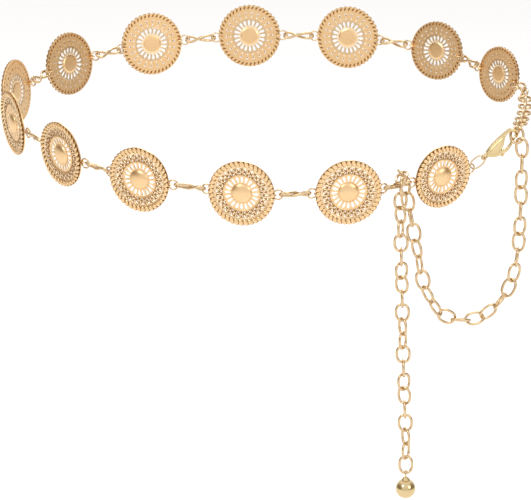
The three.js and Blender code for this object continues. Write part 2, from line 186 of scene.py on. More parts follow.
# Gold finishes. Plated metal, pale and warm: stamped sheet is satin, creamier where its ornament is worked,
# and its hollows are painted dark, a painted shade for the shadow in them; drawn wire is smoother, and the
# ball and clasp are polished to a mirror and yellower. The two spans say where in the ornament's recess those
# tones begin and are full.
stampedGold = {
    "name": "stampedGoldPlate",
    "light": "#F3D2A4",
    "rich": "#EBC592",
    "worked": "#FBE6C4",
    "workedSpan": (0, 0.2),
    # Painted shade: this dark tone is painted into the ornament's hollows and crevices, where shadow falls
    "paintedShade": "#A07440",
    "paintedShadeSpan": (0.45, 1),
    "roughness": (0.24, 0.4),
    "cloudSize": 7.0,
    "grainSize": 0.35,
    "grainDepth": 0.03,
}
wireGold = {
    "name": "drawnGoldWire",
    "light": "#DFC59E",
    "rich": "#CFB28A",
    "roughness": (0.14, 0.26),
    "cloudSize": 9.0,
    "grainSize": 0.6,
    "grainDepth": 0.012,
}
polishedGold = {
    "name": "polishedPaleGold",
    "light": "#E0CB9E",
    "rich": "#D0B888",
    "roughness": (0.07, 0.15),
    "cloudSize": 8.0,
    "grainSize": 0.8,
    "grainDepth": 0.006,
}
# What every gold finish shares: the detail of its clouds and grain, the grain's span, and how far it shows
goldSurface = {"cloudDetail": 3.0, "grainDetail": 2.0, "grainSpan": (0.3, 0.7), "grainStrength": 0.5}


def noiseOf(tree, place, size, detail):
    sockets = {"Vector": place, "Scale": 1 / (size * mm), "Detail": detail}
    return addNode(tree, "ShaderNodeTexNoise", inputs=sockets).outputs["Fac"]


def goldMaterial(look):
    material = bpy.data.materials.new(look["name"])
    material.use_nodes = True
    tree = material.node_tree
    tree.nodes.clear()
    place = addNode(tree, "ShaderNodeTexCoord").outputs["Object"]
    cloud = noiseOf(tree, place, look["cloudSize"], goldSurface["cloudDetail"])
    grain = noiseOf(tree, place, look["grainSize"], goldSurface["grainDetail"])
    shade = mixedColour(tree, cloud, linearOf(look["light"]), linearOf(look["rich"]))
    # The recess attribute paints cream over the worked ornament and painted shade, a dark tone, into its
    # hollows
    if "paintedShade" in look:
        recess = addNode(tree, "ShaderNodeAttribute", {"attribute_name": "recess"}).outputs["Fac"]
        depth = addNode(tree, "ShaderNodeMath", {"operation": "ABSOLUTE"}, {0: recess}).outputs["Value"]
        for tone, amount in (("worked", recess), ("paintedShade", depth)):
            share = softShare(tree, amount, look[tone + "Span"])
            shade = mixedColour(tree, share, shade, linearOf(look[tone]))
    low, high = look["roughness"]
    fine, coarse = goldSurface["grainSpan"]
    roughness = addNode(
        tree,
        "ShaderNodeMapRange",
        inputs={"Value": grain, "From Min": fine, "From Max": coarse, "To Min": low, "To Max": high},
    ).outputs["Result"]
    relief = {"Height": grain, "Strength": goldSurface["grainStrength"], "Distance": look["grainDepth"] * mm}
    bump = addNode(tree, "ShaderNodeBump", inputs=relief).outputs["Normal"]
    shader = addNode(
        tree,
        "ShaderNodeBsdfPrincipled",
        inputs={"Base Color": shade, "Metallic": 1.0, "Roughness": roughness, "Normal": bump},
    )
    addNode(tree, "ShaderNodeOutputMaterial", inputs={"Surface": shader.outputs["BSDF"]})
    return material


# Each finish and the slot that it fills
finishes = {
    "stamped": (goldMaterial(stampedGold), "gold_plate"),
    "wire": (goldMaterial(wireGold), "gold_plate"),
    "polished": (goldMaterial(polishedGold), "polished_pale_gold"),
}
print("gold finishes made")


# Workshop helpers: corners nearer than the weld are one, edges bent by more than the crease stay sharp, and
# wire is turned in so many steps and sides
weld = 0.001
crease = 40
wireRound = {"steps": 28, "sides": 10}


# A place with its own three axes
def frameAt(origin, x, y, z):
    matrix = Matrix((x, y, z)).transposed().to_4x4()
    matrix.translation = origin
    return matrix


# The direction square to the first that lies nearest the second
def acrossFrom(direction, reference):
    return (reference - direction * reference.dot(direction)).normalized()


# Adds a finished shell to the piece that it belongs to
def addShell(target, shell, matrix=None):
    bmesh.ops.recalc_face_normals(shell, faces=shell.faces)
    if matrix:
        bmesh.ops.transform(shell, matrix=matrix, verts=shell.verts)
    carrier = bpy.data.meshes.new("shell")
    shell.to_mesh(carrier)
    shell.free()
    target.from_mesh(carrier)
    bpy.data.meshes.remove(carrier)


# Moves a piece to its place, brings it to metres, gives it its finish and lets it stand for its node
def finishPiece(node, bm, finish, body="belt", at=None):
    if at:
        bmesh.ops.transform(bm, matrix=at, verts=bm.verts)
    bmesh.ops.scale(bm, vec=(mm, mm, mm), verts=bm.verts)
    mesh = bpy.data.meshes.new(node + "_finished")
    bm.to_mesh(mesh)
    bm.free()
    mesh.shade_smooth()
    mesh.set_sharp_from_angle(angle=radians(crease))
    material, slot = finishes[finish]
    mesh.materials.append(material)
    piece = bpy.data.objects.new(node + "_finished", mesh)
    bpy.context.scene.collection.objects.link(piece)
    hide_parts(node)
    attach(piece, body)


# A shape turned about Z from its profile of radius and height
def turnedShell(profile, steps):
    bm = bmesh.new()
    corners = [bm.verts.new((r, 0, z)) for r, z in profile]
    lines = [bm.edges.new(pair) for pair in zip(corners, corners[1:])]
    bmesh.ops.spin(
        bm,
        geom=corners + lines,
        cent=(0, 0, 0),
        axis=(0, 0, 1),
        angle=2 * pi,
        steps=steps,
        use_merge=True,
    )
    bmesh.ops.remove_doubles(bm, verts=bm.verts, dist=weld)
    return bm


# Round wire bent to a ring about Z, or to part of one
def ringShell(radius, wire, steps=wireRound["steps"], sides=wireRound["sides"], turn=360):
    bm = bmesh.new()
    stand = Matrix.Translation((radius, 0, 0)) @ Matrix.Rotation(pi / 2, 4, "X")
    bmesh.ops.create_circle(bm, cap_ends=turn < 360, radius=wire / 2, segments=sides, matrix=stand)
    bmesh.ops.spin(
        bm,
        geom=bm.verts[:] + bm.edges[:] + bm.faces[:],
        cent=(0, 0, 0),
        axis=(0, 0, 1),
        angle=radians(turn),
        steps=steps,
        use_merge=turn == 360,
    )
    return bm


# Wire bent to an oval link, long along X: length and width are those of the wire's middle line. It starts as
# a round loop, loopWires wires in radius
oval = {"squareness": 0.05, "loopWires": 4}


def ovalShell(length, width, wire):
    loop = oval["loopWires"] * wire
    bm = ringShell(loop, wire)
    for vert in bm.verts:
        angle = atan2(vert.co.y, vert.co.x)
        out = hypot(vert.co.x, vert.co.y) - loop
        reach = 1 + oval["squareness"] * sin(2 * angle) ** 2
        normal = Vector((width * cos(angle), length * sin(angle), 0)).normalized()
        vert.co.x = cos(angle) * length / 2 * reach + normal.x * out
        vert.co.y = sin(angle) * width / 2 * reach + normal.y * out
    return bm


# A soft curve through points, closed or open, with so many steps from each point to the next
def softLine(points, steps, closed=True):
    leastGap = 0.0001
    count = len(points)
    line = []
    for i in range(count if closed else count - 1):
        if closed:
            a, b, c, d = (points[(i + k) % count] for k in (-1, 0, 1, 2))
        else:
            b, c = points[i], points[i + 1]
            a = points[i - 1] if i > 0 else b * 2 - c
            d = points[i + 2] if i + 2 < count else c * 2 - b
        gaps = [max((q - p).length, leastGap) ** 0.5 for p, q in ((a, b), (b, c), (c, d))]
        leave = (b - a) / gaps[0] - (c - a) / (gaps[0] + gaps[1]) + (c - b) / gaps[1]
        arrive = (c - b) / gaps[1] - (d - b) / (gaps[1] + gaps[2]) + (d - c) / gaps[2]
        leave, arrive = leave * gaps[1], arrive * gaps[1]
        for k in range(steps):
            t = k / steps
            bend = (b - c) * 2 + leave + arrive
            line.append(b + leave * t + ((c - b) * 3 - leave * 2 - arrive) * t * t + bend * t ** 3)
    if not closed:
        line.append(points[-1].copy())
    return line


# The surface that a curve makes along a line of points, with the curve's own settings
def curveShell(points, closed, settings):
    data = bpy.data.curves.new("curve", "CURVE")
    for key, value in settings.items():
        setattr(data, key, value)
    spline = data.splines.new("POLY")
    spline.points.add(len(points) - 1)
    for at, point in zip(spline.points, points):
        at.co = (*point, 1)
    spline.use_cyclic_u = closed
    holder = bpy.data.objects.new("curve", data)
    bpy.context.scene.collection.objects.link(holder)
    bpy.context.view_layer.update()
    mesh = bpy.data.meshes.new_from_object(holder.evaluated_get(bpy.context.evaluated_depsgraph_get()))
    bm = bmesh.new()
    bm.from_mesh(mesh)
    bmesh.ops.remove_doubles(bm, verts=bm.verts, dist=weld)
    bpy.data.objects.remove(holder)
    bpy.data.curves.remove(data)
    bpy.data.meshes.remove(mesh)
    return bm


# Round wire along a line of points
def wireShell(points, wire, closed=True, roundness=3):
    drawn = {
        "dimensions": "3D",
        "bevel_depth": wire / 2,
        "bevel_resolution": roundness,
        "use_fill_caps": not closed,
    }
    return curveShell(points, closed, drawn)


# Belt, row by row from the clasp: heading and slope of each medallion, its size, and the heading of the
# twisted link that follows it
beltStart = Vector((113.6, -106.6, -16.1))
belt = [
    {"name": "front_5", "heading": 212, "slope": -4, "size": 0.97, "link": 213},
    {"name": "front_4", "heading": 190.5, "slope": -1, "size": 1, "link": 192.5},
    {"name": "front_3", "heading": 168, "slope": 2, "size": 1, "link": 164.5},
    {"name": "front_2", "heading": 152.5, "slope": 4, "size": 1, "link": 138},
    {"name": "front_1", "heading": 129, "slope": 6, "size": 1, "link": 119},
    {"name": "side_front", "heading": 113, "slope": 5.5, "size": 1, "link": 92},
    {"name": "side_back", "heading": 69, "slope": 5, "size": 1, "link": 65.5},
    {"name": "back_1", "heading": 47, "slope": 5, "size": 1, "link": 38},
    {"name": "back_2", "heading": 16, "slope": 4.7, "size": 1, "link": 4},
    {"name": "back_3", "heading": 0, "slope": 2.2, "size": 1, "link": -8.5},
    {"name": "back_4", "heading": -10, "slope": -1.5, "size": 1, "link": -29},
    {"name": "back_5", "heading": -33, "slope": -4.5, "size": 0.94, "link": -64},
    {"name": "back_6", "heading": -50, "slope": -6, "size": 0.88, "link": -74},
]
# Every medallion: its radius, how far its top leans out, where and how deep behind it a jump ring sits, and
# how far its edge lies from the next one's
medallion = {"radius": 20.6, "leanOut": 6, "seat": 19.1, "seatDepth": -1.65, "linkSpan": 24.46}


# The direction with this heading and slope, in degrees
def alongOf(heading, slope):
    flat = cos(radians(slope))
    return Vector((cos(radians(heading)) * flat, sin(radians(heading)) * flat, sin(radians(slope))))


# Where each medallion stands: X against the belt's run, Y up, Z outwards
def beltPlaces():
    places = []
    middle = beltStart.copy()
    lean = radians(medallion["leanOut"])
    for row, after in zip(belt, belt[1:] + [None]):
        along = alongOf(row["heading"], row["slope"])
        level = Vector((-sin(radians(row["heading"])), cos(radians(row["heading"])), 0))
        upright = along.cross(level)
        outward = level * cos(lean) - upright * sin(lean)
        up = upright * cos(lean) + level * sin(lean)
        radius = medallion["radius"] * row["size"]
        places.append({"row": row, "radius": radius, "up": up, "at": frameAt(middle, -along, up, outward)})
        if after:
            linkWay = alongOf(row["link"], (row["slope"] + after["slope"]) / 2)
            nextWay = alongOf(after["heading"], after["slope"])
            step = along * radius + linkWay * medallion["linkSpan"]
            middle = middle + step + nextWay * medallion["radius"] * after["size"]
    return places


places = beltPlaces()


# Medallion. Each ring of openings: inner and outer radius, how many, where each opening's middle is, its half
# length and half width, how much wider it is outwards, and how far it slants
slotRing = {"ring": (5.6, 11.2), "count": 20, "at": 8.5, "half": (2.0, 0.77), "egg": 0.28, "slant": 0}
innerBand = {"ring": (11.2, 13.5), "count": 22, "at": 12.5, "half": (0.55, 0.42), "egg": 0, "slant": 0}
outerBand = {"ring": (13.5, 17.1), "count": 22, "at": 15.0, "half": (0.9, 0.62), "egg": 0, "slant": 25}
rimBack = {"ring": (17.1, 20.2), "count": 44, "at": 18.75, "half": (1.2, 0.55), "egg": 0, "slant": 30}
# The hollows behind the rim: how deep, and how wide their floors are against their mouths
pit = {"depth": 0.5, "floor": 0.75}
# Lobes of the rope border: how many, radius from the middle, half sizes, height of their middles, and slant
rope = {"count": 40, "at": 18.75, "half": (2.15, 1.42, 0.8), "height": 0.9, "slant": 40}
# Curls of the band: how many, radius from the middle, their own radius and wire, how much of a round, and
# how far the row is shifted
curls = [
    {"count": 22, "at": 14.75, "radius": 1.35, "wire": 0.7, "turn": 290, "shift": 0},
    {"count": 22, "at": 12.75, "radius": 0.85, "wire": 0.56, "turn": 250, "shift": 0.5},
]
# Rows of small grains: how many, radius from the middle, grain radius, and how far round the row is shifted
grains = [
    {"count": 22, "at": 14.75, "radius": 0.5, "shift": 0},
    {"count": 22, "at": 16.1, "radius": 0.52, "shift": 0.5},
    {"count": 22, "at": 13.9, "radius": 0.42, "shift": 0.5},
    {"count": 44, "at": 11.75, "radius": 0.34, "shift": 0.5},
]
# Raised rings: radius and wire
raisedRings = [(11.15, 0.75), (16.95, 0.85)]
# How far the middle of each raised wire or grain lies above the band
lift = {"rings": 0.05, "curls": 0.12, "grains": 0.1}
# Back and front of the plate in each zone, and how far the slots' edges are rounded
plateLevels = {"slots": (-0.35, 0.35), "band": (-0.4, 0.2), "rim": (-0.5, 0.45)}
slotRounding = 0.12
# The boss in profile: radius and height
boss = [
    (0, -0.7), (4.8, -0.7), (5.15, -0.68), (5.45, -0.5), (6.15, -0.3), (6.4, 0.3), (6.2, 0.75), (5.5, 1.3),
    (4.4, 1.8), (3, 2.15), (1.5, 2.35), (0, 2.4),
]
# Steps and sides that the boss, the raised rings and the curls are turned in
turning = {"boss": 48, "ringSteps": 80, "ringSides": 8, "curlSteps": 10, "curlSides": 6}


# Copies what the mesh holds round Z, so that the whole ring is filled
def spunRound(bm, count):
    sectorWeld = 0.002
    bmesh.ops.spin(
        bm,
        geom=bm.verts[:] + bm.edges[:] + bm.faces[:],
        cent=(0, 0, 0),
        axis=(0, 0, 1),
        angle=2 * pi * (count - 1) / count,
        steps=count - 1,
        use_duplicate=True,
    )
    bmesh.ops.remove_doubles(bm, verts=bm.verts, dist=sectorWeld)


# The lines from point to point and back to the first
def closedLines(bm, points):
    corners = [bm.verts.new(point) for point in points]
    return [bm.edges.new((corners[i - 1], corners[i])) for i in range(len(corners))]


# One sector of a flat ring, bridged between its edge and its opening. The edge runs along the outer ring, in
# along one side, back along the inner ring and out along the other side
def piercedSector(openings, low):
    inner, outer = openings["ring"]
    half = pi / openings["count"]
    middle = Vector((openings["at"], 0))
    alongRing = (-1, -0.5, 0, 0.5, 1)
    alongSide = (0.25, 0.5, 0.75)
    edge = [(outer, half * k) for k in alongRing]
    edge += [(outer + (inner - outer) * k, half) for k in alongSide]
    edge += [(inner, -half * k) for k in alongRing]
    edge += [(inner + (outer - inner) * k, -half) for k in alongSide]
    rim = []
    opening = []
    long, wide = openings["half"]
    for radius, angle in edge:
        point = Vector((radius * cos(angle), radius * sin(angle)))
        rim.append((point.x, point.y, low))
        way = atan2(point.y, point.x - middle.x) - radians(openings["slant"])
        broad = wide * (1 + openings["egg"] * cos(way))
        reach = 1 / hypot(cos(way) / long, sin(way) / broad)
        turned = way + radians(openings["slant"])
        opening.append((middle.x + reach * cos(turned), reach * sin(turned), low))
    bm = bmesh.new()
    outerLines = closedLines(bm, rim)
    innerLines = closedLines(bm, opening)
    bmesh.ops.bridge_loops(bm, edges=outerLines + innerLines)
    return bm, innerLines


# The whole pierced ring made thick, with its sharp edges rounded off by the given width
def piercedShell(openings, levels, rounding=0):
    sharpAngle = 1  # radians
    low, high = levels
    bm, _ = piercedSector(openings, low)
    spunRound(bm, openings["count"])
    lifted = bmesh.ops.extrude_face_region(bm, geom=bm.faces[:], use_keep_orig=True)["geom"]
    top = [part for part in lifted if isinstance(part, bmesh.types.BMVert)]
    bmesh.ops.translate(bm, vec=(0, 0, high - low), verts=top)
    bmesh.ops.recalc_face_normals(bm, faces=bm.faces)
    if rounding:
        paired = [line for line in bm.edges if len(line.link_faces) == 2]
        sharp = [line for line in paired if line.calc_face_angle() > sharpAngle]
        bmesh.ops.bevel(
            bm,
            geom=sharp,
            offset=rounding,
            offset_type="OFFSET",
            segments=2,
            profile=0.5,
            affect="EDGES",
            material=-1,
        )
    return bm


# The rim's plate, closed in front, with a row of slanting hollows pressed in behind
def rimShell():
    low, high = plateLevels["rim"]
    bm, lines = piercedSector(rimBack, low)
    pressed = bmesh.ops.extrude_edge_only(bm, edges=lines)["geom"]
    floor = [part for part in pressed if isinstance(part, bmesh.types.BMVert)]
    bmesh.ops.translate(bm, vec=(0, 0, pit["depth"]), verts=floor)
    middle = Vector((rimBack["at"], 0, low + pit["depth"]))
    bmesh.ops.scale(bm, vec=(pit["floor"], pit["floor"], 1), verts=floor, space=Matrix.Translation(-middle))
    deep = [part for part in pressed if isinstance(part, bmesh.types.BMEdge)]
    bmesh.ops.contextual_create(bm, geom=[line for line in deep if all(v in floor for v in line.verts)])
    spunRound(bm, rimBack["count"])
    border = [line for line in bm.edges if line.is_boundary]
    raised = bmesh.ops.extrude_edge_only(bm, edges=border)["geom"]
    top = [part for part in raised if isinstance(part, bmesh.types.BMVert)]
    bmesh.ops.translate(bm, vec=(0, 0, high - low), verts=top)
    bmesh.ops.bridge_loops(bm, edges=[line for line in bm.edges if line.is_boundary])
    return bm


# One bent wire behind the rim, which holds a jump ring: its reach, its wire, how high its feet stand in the
# rim, how many bends it is drawn with, and how round the wire is
eyelet = {"reach": 1.55, "wire": 0.8, "foot": -0.3, "bends": 8, "roundness": 2}


def eyeletShell(seat):
    reach, deep = eyelet["reach"], medallion["seatDepth"]
    line = [Vector((seat + reach, 0, eyelet["foot"]))]
    for k in range(eyelet["bends"] + 1):
        angle = pi * k / eyelet["bends"]
        line.append(Vector((seat + reach * cos(angle), 0, deep - reach * sin(angle))))
    line.append(Vector((seat - reach, 0, eyelet["foot"])))
    return wireShell(line, eyelet["wire"], False, eyelet["roundness"])


# Shifts the first of a row round the medallion, repeats it all the way round and adds the row
def addRow(whole, first, row):
    shift = Matrix.Rotation(2 * pi * row["shift"] / row["count"], 3, "Z")
    bmesh.ops.rotate(first, cent=(0, 0, 0), matrix=shift, verts=first.verts)
    spunRound(first, row["count"])
    addShell(whole, first)


def addRope(whole):
    lobe = bmesh.new()
    bmesh.ops.create_uvsphere(lobe, u_segments=10, v_segments=7, radius=1)
    bmesh.ops.scale(lobe, vec=rope["half"], verts=lobe.verts)
    lean = Matrix.Rotation(radians(rope["slant"]), 4, "Z")
    lobePlace = Matrix.Translation((rope["at"], 0, rope["height"])) @ lean
    bmesh.ops.transform(lobe, matrix=lobePlace, verts=lobe.verts)
    spunRound(lobe, rope["count"])
    addShell(whole, lobe)


def addFiligree(whole, bandTop):
    for row in curls:
        curl = ringShell(row["radius"], row["wire"], turning["curlSteps"], turning["curlSides"], row["turn"])
        openWay = Matrix.Rotation(pi + radians(360 - row["turn"]) / 2, 4, "Z")
        curlPlace = Matrix.Translation((row["at"], 0, bandTop + lift["curls"])) @ openWay
        bmesh.ops.transform(curl, matrix=curlPlace, verts=curl.verts)
        addRow(whole, curl, row)
    for row in grains:
        grain = bmesh.new()
        bmesh.ops.create_icosphere(grain, subdivisions=1, radius=row["radius"])
        bmesh.ops.translate(grain, vec=(row["at"], 0, bandTop + lift["grains"]), verts=grain.verts)
        addRow(whole, grain, row)


def medallionShape(size):
    whole = bmesh.new()
    addShell(whole, piercedShell(slotRing, plateLevels["slots"], slotRounding))
    addShell(whole, piercedShell(innerBand, plateLevels["band"]))
    addShell(whole, piercedShell(outerBand, plateLevels["band"]))
    addShell(whole, rimShell())
    addShell(whole, turnedShell(boss, turning["boss"]))
    bandTop = plateLevels["band"][1]
    for radius, wire in raisedRings:
        raised = ringShell(radius, wire, turning["ringSteps"], turning["ringSides"])
        addShell(whole, raised, Matrix.Translation((0, 0, bandTop + lift["rings"])))
    addRope(whole)
    addFiligree(whole, bandTop)

    bmesh.ops.scale(whole, vec=(size, size, 1), verts=whole.verts)
    seat = medallion["radius"] * (size - 1) + medallion["seat"]
    for side in (seat, -seat):
        addShell(whole, eyeletShell(side))
    return whole


# How deep a point lies in the ornament, which sets where the stamped finish paints its shade: 0 where the
# metal is plain, up to 1 in the band's hollows and down to -1 in the rim's grooves, which get the painted
# shade with no cream beside them. The edges are radii where the boss, the slots and the band end; the next
# three say how thick the plain back is, how high the slots' plain face lies and how deep their walls count,
# and the rest how the depth fades with height
ornament = {
    "bossEdge": 6.5,
    "slotEdge": 11.6,
    "bandEdge": 17.1,
    "plainBack": 0.15,
    "slotFace": 0.3,
    "slotDepth": 0.7,
    "bandFade": 0.45,
    "bandLeast": 0.2,
    "pitMargin": 0.02,
    "ropeFade": 0.6,
}


def recessAt(radius, height):
    rimLow = plateLevels["rim"][0]
    if radius < ornament["bossEdge"] or height < rimLow + ornament["plainBack"]:
        return 0
    if radius < ornament["slotEdge"]:
        return 0 if height > ornament["slotFace"] else ornament["slotDepth"]
    if radius < ornament["bandEdge"]:
        depth = 1 - (height - plateLevels["band"][1]) / ornament["bandFade"]
        return min(max(depth, ornament["bandLeast"]), 1)
    if height < rimLow + pit["depth"] + ornament["pitMargin"]:
        return -1
    ropeTop = rope["height"] + rope["half"][2]
    return max(min((height - ropeTop) / ornament["ropeFade"], 0), -1)


# Gives every corner its depth, the mask by which the stamped finish paints cream and painted shade
def markRecess(bm, size):
    recess = bm.verts.layers.float.new("recess")
    for vert in bm.verts:
        vert[recess] = recessAt(hypot(vert.co.x, vert.co.y) / size, vert.co.z)


shapes = {}
for place in places:
    size = place["row"]["size"]
    if size not in shapes:
        shapes[size] = medallionShape(size)
        markRecess(shapes[size], size)
    finishPiece("medallion_" + place["row"]["name"], shapes[size].copy(), "stamped", at=place["at"])
print("medallions made:", len(places))


# Jump rings and twisted links. A link's reach is how far its ends lie beyond the wires of its two rings
jumpRing = {"radius": 3, "wire": 1.0}
twist = {"wire": 1.8, "halfWidth": 2.25, "waist": 0.95, "turn": -50, "reach": 1.92, "steps": 6}
# One strand of the twisted link: place along it, width against the widest, and turn
strand = [
    {"along": 0.88, "width": 0.9, "turn": 0},
    {"along": 0.6, "width": 1, "turn": 0},
    {"along": 0, "width": twist["waist"] / twist["halfWidth"], "turn": 90},
    {"along": -0.6, "width": 1, "turn": 180},
    {"along": -0.88, "width": 0.9, "turn": 180},
]


# Where a ring sits in the eyelet on one side of a medallion
def eyeletSeat(place, side):
    reach = place["radius"] - medallion["radius"] + medallion["seat"]
    return place["at"] @ Vector((side * reach, 0, medallion["seatDepth"]))


# A jump ring that leaves its seat in the given direction; gives the place of its far wire
def addJumpRing(node, seat, direction, up):
    middle = seat + direction * jumpRing["radius"]
    ring = ringShell(jumpRing["radius"], jumpRing["wire"])
    finishPiece(node, ring, "wire", at=frameAt(middle, direction, up, direction.cross(up)))
    return seat + direction * 2 * jumpRing["radius"]


def addTwistedLink(node, start, end, up):
    along = (end - start).normalized()
    half = (end - start).length / 2 + twist["reach"]
    across = along.cross(up)
    middle = (start + end) / 2

    def pointAt(row, back):
        angle = radians(row["turn"] + twist["turn"] + back)
        wide = row["width"] * twist["halfWidth"]
        return middle + along * row["along"] * half + (up * cos(angle) + across * sin(angle)) * wide

    line = [middle + along * half] + [pointAt(row, 0) for row in strand]
    line += [middle - along * half] + [pointAt(row, 180) for row in reversed(strand)]
    finishPiece(node, wireShell(softLine(line, twist["steps"]), twist["wire"]), "wire")


for here, after in zip(places, places[1:]):
    start = eyeletSeat(here, -1)
    end = eyeletSeat(after, 1)
    along = (end - start).normalized()
    up = acrossFrom(along, here["up"] + after["up"])
    first = addJumpRing("jump_ring_after_" + here["row"]["name"], start, along, up)
    second = addJumpRing("jump_ring_before_" + after["row"]["name"], end, -along, up)
    addTwistedLink("twisted_link_after_" + here["row"]["name"], first, second, up)
print("jump rings and twisted links made")


# Extension chain: the stretch to the clasp, the swag and the tail, each along a route of points. The links
# are spaced by their bare wire and drawn with the finished one; ringGap is the air between wires that hook
chain = {"wire": 1.4, "finished": 1.7, "width": 9.2, "gap": 0.6, "ringGap": 0.45, "leastBend": 0.6}
# How finely a route is drawn, and how its links' even length is found: so many halvings between two shares
# of the mean
spacing = {"steps": 70, "halvings": 40, "least": 0.5, "most": 1.1}


# The joints that cut a route into links of one length
def evenJoints(points, links):
    line = softLine(points, spacing["steps"], closed=False)

    def walk(step):
        joints = [line[0]]
        for point in line:
            if len(joints) <= links and (point - joints[-1]).length >= step:
                joints.append(point)
        return joints

    mean = sum((b - a).length for a, b in zip(line, line[1:])) / links
    low, high = spacing["least"] * mean, spacing["most"] * mean
    for _ in range(spacing["halvings"]):
        step = (low + high) / 2
        if len(walk(step)) > links:
            low = step
        else:
            high = step
    joints = walk(low)
    joints[links:] = [line[-1]]
    return joints


# The links between the joints, each turned on from the one before; at a loose joint two pieces meet
def chainLinks(joints, face, firstTurn, turnAt, loose):
    ways = [(b - a).normalized() for a, b in zip(joints, joints[1:])]

    def reachAt(i):
        before, after = ways[max(i - 1, 0)], ways[min(i, len(ways) - 1)]
        bend = max(cos(before.angle(after) / 2), chain["leastBend"])
        return (chain["wire"] + (chain["gap"] if i in loose else 0)) / 2 / bend

    links = []
    facing, turn = face.copy(), firstTurn
    for i, way in enumerate(ways):
        if i > 0:
            facing = ways[i - 1].rotation_difference(way) @ facing
            turn += turnAt(i)
        facing = acrossFrom(way, facing)
        wide = Quaternion(way, radians(turn)) @ facing.cross(way)
        start = joints[i] - way * reachAt(i)
        end = joints[i + 1] + way * reachAt(i + 1)
        middle, length = (start + end) / 2, (end - start).length
        links.append({"middle": middle, "length": length, "way": way, "wide": wide, "end": end})
    return links


def addChain(node, links):
    whole = bmesh.new()
    for link in links:
        shell = ovalShell(link["length"], chain["width"] - chain["wire"], chain["finished"])
        at = frameAt(link["middle"], link["way"], link["wide"], link["way"].cross(link["wide"]))
        addShell(whole, shell, at)
    finishPiece(node, whole, "wire")


# From the middle of one wire to the middle of another that hooks round it
def looseReach(wireA, wireB):
    return (wireA + wireB) / 2 + chain["ringGap"]


def route(*points):
    return [Vector(point) for point in points]


# How far the middle line of a link's wire reaches past a loose joint
looseEnd = (chain["wire"] + chain["gap"]) / 2
upward = Vector((0, 0, 1))
frontward = Vector((0, -1, 0))
rightward = Vector((1, 0, 0))

endWay = alongOf(belt[-1]["link"], 0)
endSeat = eyeletSeat(places[-1], -1)
endRingWire = addJumpRing("end_ring_at_chain", endSeat, endWay, acrossFrom(endWay, places[-1]["up"]))

# The stretch from the last medallion to the clasp
stretch = {"links": 14, "turn": 90, "startLinks": 3, "startTurn": 120}
stretchStart = endRingWire + Vector((0, looseReach(jumpRing["wire"], chain["wire"]) - looseEnd, 0))
stretchRoute = [stretchStart] + route((170.5, 16, 6), (169, -16, 5.5), (164.8, -52, 6.6), (162.8, -70, 8.2))
stretchRoute += route((159.8, -84.5, 8.4), (159.4, -91.3, 1.9))
stretchLinks = chainLinks(
    evenJoints(stretchRoute, stretch["links"]),
    upward,
    0,
    lambda i: stretch["startTurn"] if i <= stretch["startLinks"] else stretch["turn"],
    (0, stretch["links"]),
)
addChain("chain_clasp_stretch", stretchLinks)

# The swag, in two pieces: it hangs from a corner of the link that the clasp holds, and its top passes behind
# the belt and over a twisted link
swag = {"links": 26, "split": 13, "firstTurn": 30, "turn": 60, "topLinks": 5, "topTurn": 73}
swagHold = {"cornerReach": 0.38, "forward": 0.3}
hookedLink = stretchLinks[-1]
towardClasp = hookedLink["wide"] * (-1 if hookedLink["wide"].x > 0 else 1)
chainHalf = (chain["width"] - chain["wire"]) / 2
overReach = looseReach(chain["wire"], chain["wire"])
corner = hookedLink["middle"] + hookedLink["way"] * swagHold["cornerReach"] * hookedLink["length"]
corner = corner - towardClasp * 2 * swagHold["cornerReach"] * chainHalf
swagRoute = [corner + Vector((0, -swagHold["forward"], overReach - looseEnd))]
swagRoute += route((162.8, -91, -10), (162.6, -90, -24), (162.5, -89, -43), (161.5, -88, -65.5))
swagRoute += route((157, -87, -90.5), (144.5, -90, -106), (128.5, -97, -110), (113, -104, -103))
swagRoute += route((103.5, -107, -86), (99, -108, -64.5), (95, -108, -43.5), (92.5, -107.5, -31))
swagRoute += route((90.8, -107.5, -20), (89.3, -111, -12.9), (88.4, -118, -11.7), (88, -126.5, -14))
swagLinks = chainLinks(
    evenJoints(swagRoute, swag["links"]),
    frontward,
    swag["firstTurn"],
    lambda i: swag["topTurn"] if i >= swag["links"] - swag["topLinks"] else swag["turn"],
    (0, swag["split"], swag["links"]),
)
addChain("chain_swag_right", swagLinks[:swag["split"]])
addChain("chain_swag_left", swagLinks[swag["split"]:])

# The tail, hung from the swag's last link; every few links one is turned square to the last
tail = {"links": 21, "topLinks": 4, "topTurn": 67.5, "turn": 60, "squareTurn": 90, "squareEvery": 4}
tailHold = {"back": 0.9, "rise": 0.7}
overLink = swagLinks[-1]
tailLift = Vector((0, overReach - chainHalf + tailHold["back"], overReach - looseEnd + tailHold["rise"]))
tailStart = overLink["end"] + tailLift
tailRoute = [tailStart] + route((87.4, -129, -27), (88, -128, -52), (89, -127, -87), (90, -127, -125))
tailRoute += route((91, -127, -152), (92, -127, -176), (92.2, -127, -197.6))


def tailTurn(i):
    if i <= tail["topLinks"]:
        return tail["topTurn"]
    fromTop = i - tail["topLinks"] - 1
    return tail["squareTurn"] if fromTop % tail["squareEvery"] == 0 else tail["turn"]


tailLinks = chainLinks(
    evenJoints(tailRoute, tail["links"]),
    rightward,
    0,
    tailTurn,
    (0, tail["links"]),
)
addChain("chain_tail", tailLinks)
print("chain made:", len(stretchLinks) + len(swagLinks) + len(tailLinks), "links")


# Ball pendant, about the ball's middle; its ring is sunk a little into the cap
pendant = {"ballRadius": 6.15, "ringRadius": 2.3, "capHeight": 1.3, "ringSunk": 0.2, "capSteps": 24}
pendantCap = [(0, 5.2), (2.5, 5.35), (2.75, 5.75), (2.3, 6.3), (1.9, 6.8), (1.5, 7.35), (0, 7.5)]


